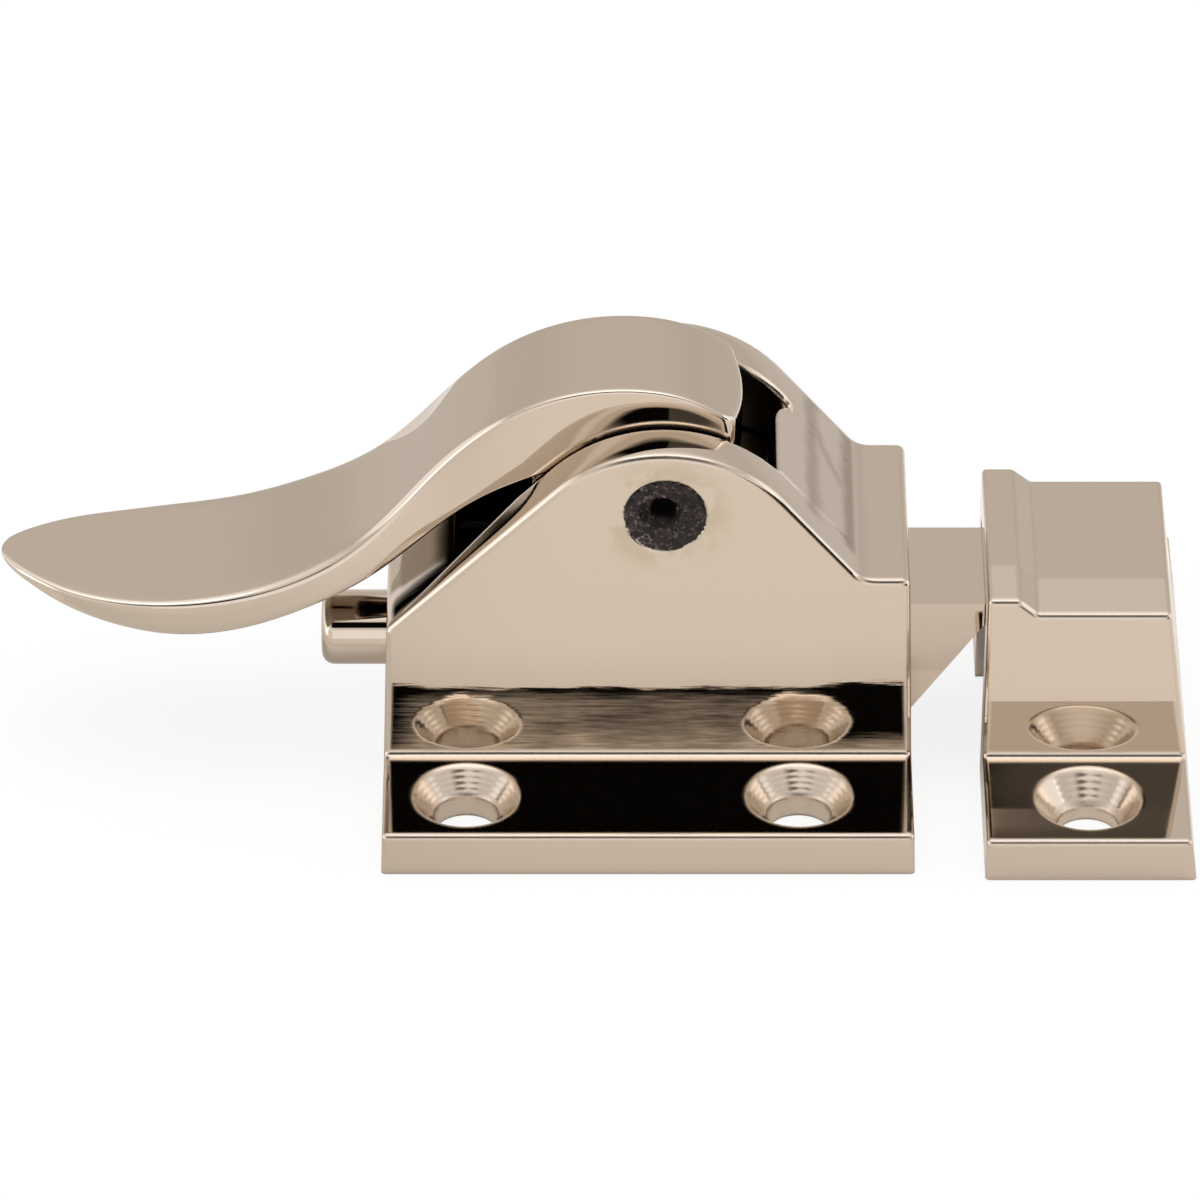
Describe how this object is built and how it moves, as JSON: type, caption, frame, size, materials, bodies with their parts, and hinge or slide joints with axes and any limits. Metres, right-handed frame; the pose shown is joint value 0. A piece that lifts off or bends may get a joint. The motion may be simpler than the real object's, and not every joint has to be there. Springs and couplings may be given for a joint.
{
  "type": "cupboard catch latch",
  "caption": "Surface-mounted cupboard latch: a cast case with a rocking spoon lever and a spring bolt, and its separate strike.",
  "frame": {"origin": "centre of the case's four screw holes, on its flat back", "axes": "+Z away from the door the case is screwed to, +X from the case towards the strike, +Y away from the viewer of the picture"},
  "size_m": [0.1114, 0.0514, 0.0417],
  "materials": {
    "polished_nickel": "polished nickel plate with a warm tone",
    "black_steel": "rough black oxide",
    "spring_steel": "drawn wire"
  },
  "bodies": {
    "case": {"case": "polished_nickel", "pivot_pin": "black_steel", "bolt_spring": "spring_steel", "strike": "polished_nickel"},
    "lever": {"lever": "polished_nickel"},
    "bolt": {"latch_bolt": "polished_nickel"}
  },
  "joints": [
    {"name": "lever_pivot", "type": "hinge", "parent": "case", "child": "lever", "pos_m": [0.003, 0, 0.0312], "axis": [0, 1, 0], "range_deg": [0, 26]},
    {"name": "bolt_slide", "type": "slide", "parent": "case", "child": "bolt", "axis": [-1, 0, 0], "range_m": [0, 0.0078], "deforming": ["bolt_spring"]}
  ],
  "couplings": [
    {"joint": "bolt_slide", "follows": "lever_pivot", "m_per_rad": 0.01719}
  ]
}
